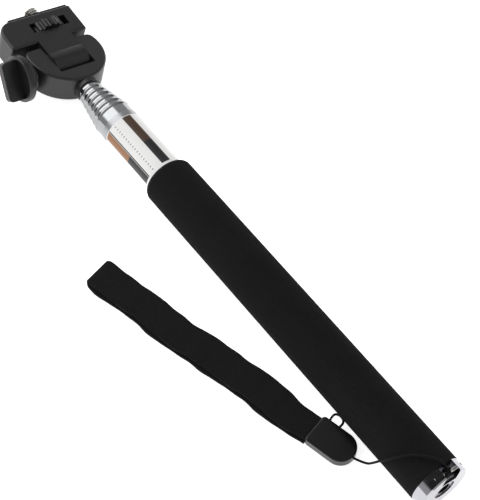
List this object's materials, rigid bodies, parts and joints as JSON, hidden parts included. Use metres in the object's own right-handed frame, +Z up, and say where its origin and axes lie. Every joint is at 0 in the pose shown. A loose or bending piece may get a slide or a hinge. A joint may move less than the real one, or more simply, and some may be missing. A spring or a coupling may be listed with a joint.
{
  "type": "selfie stick",
  "caption": "Folding telescopic hand-held camera pole with a foam grip, wrist lanyard, tilting clamped platform and a captive camera screw.",
  "frame": {"origin": "centre of the end cap's face, on the stick's axis, at the mouth of the tripod socket", "axes": "+X along the stick towards the head, +Z up with the folded stick lying on its grip, +Y towards the side where the wrist strap lies"},
  "size_m": [0.2689, 0.0673, 0.0266],
  "materials": {
    "chrome_cap": "mirror-bright chrome plate",
    "polished_tube": "polished stainless tube",
    "steel_small": "zinc-plated steel",
    "plated_screw": "nickel-plated steel",
    "brass_insert": "machined brass",
    "grip_foam": "matte foam with fine lengthwise ribs",
    "black_rubber": "matte rubber",
    "label_film": "white printed film with plain bars",
    "black_cord": "braided polyester cord",
    "gloss_black_plastic": "moulded, glossy",
    "webbing": "woven polyester webbing",
    "black_plastic": "moulded, fine satin texture",
    "white_plastic": "acetal"
  },
  "bodies": {
    "handle": {"end_cap": "chrome_cap", "lanyard_pin": "steel_small", "foam_grip": "grip_foam", "section_1_tube": "polished_tube", "base_buffer": "black_rubber", "tube_label": "label_film", "string_knot": "black_cord", "lanyard_string": "black_cord", "string_loop": "black_cord", "clip_front": "gloss_black_plastic", "clip_back": "gloss_black_plastic", "wrist_strap": "webbing"},
    "section_2": {"section_2_tube": "polished_tube", "friction_shoes_2": "white_plastic"},
    "section_3": {"section_3_tube": "polished_tube", "friction_shoes_3": "white_plastic"},
    "section_4": {"section_4_tube": "polished_tube", "friction_shoes_4": "white_plastic"},
    "section_5": {"section_5_tube": "polished_tube", "friction_shoes_5": "white_plastic"},
    "section_6": {"section_6_tube": "polished_tube", "friction_shoes_6": "white_plastic"},
    "section_7_shoes": {"friction_shoes_7": "white_plastic"},
    "head_base": {"section_7_tube": "polished_tube", "tube_plug": "white_plastic", "neck_rivet": "steel_small", "fork": "black_plastic", "tilt_bolt": "plated_screw", "friction_washers": "black_plastic", "spring_washer": "steel_small"},
    "knob": {"knob": "black_plastic", "knob_insert": "brass_insert"},
    "platform": {"platform_body": "black_plastic", "platform_pad": "black_rubber"},
    "camera_screw": {"thumbwheel": "black_plastic", "camera_screw": "plated_screw"}
  },
  "joints": [
    {"name": "section_2_slide", "type": "slide", "parent": "handle", "child": "section_2", "axis": [1, 0, 0], "range_m": [0, 0.1475]},
    {"name": "section_3_slide", "type": "slide", "parent": "section_2", "child": "section_3", "axis": [1, 0, 0], "range_m": [0, 0.1505]},
    {"name": "section_4_slide", "type": "slide", "parent": "section_3", "child": "section_4", "axis": [1, 0, 0], "range_m": [0, 0.1535]},
    {"name": "section_5_slide", "type": "slide", "parent": "section_4", "child": "section_5", "axis": [1, 0, 0], "range_m": [0, 0.1565]},
    {"name": "section_6_slide", "type": "slide", "parent": "section_5", "child": "section_6", "axis": [1, 0, 0], "range_m": [0, 0.1595]},
    {"name": "section_7_slide", "type": "slide", "parent": "section_6", "child": "section_7_shoes", "axis": [1, 0, 0], "range_m": [0, 0.1625]},
    {"name": "head_swivel", "type": "hinge", "parent": "section_7_shoes", "child": "head_base", "pos_m": [0.042, 0, 0], "axis": [1, 0, 0], "continuous": true},
    {"name": "head_tilt", "type": "hinge", "parent": "head_base", "child": "platform", "pos_m": [0.237, 0, 0], "axis": [0, -0.9563, -0.2924], "range_deg": [-95, 85]},
    {"name": "knob_turn", "type": "hinge", "parent": "head_base", "child": "knob", "pos_m": [0.237, 0.02104, 0.00643], "axis": [0, 0.9563, 0.2924], "continuous": true},
    {"name": "camera_screw_turn", "type": "hinge", "parent": "platform", "child": "camera_screw", "pos_m": [0.25493, -0.00237, 0.00092], "axis": [0.9962, -0.0255, 0.0833], "continuous": true}
  ]
}
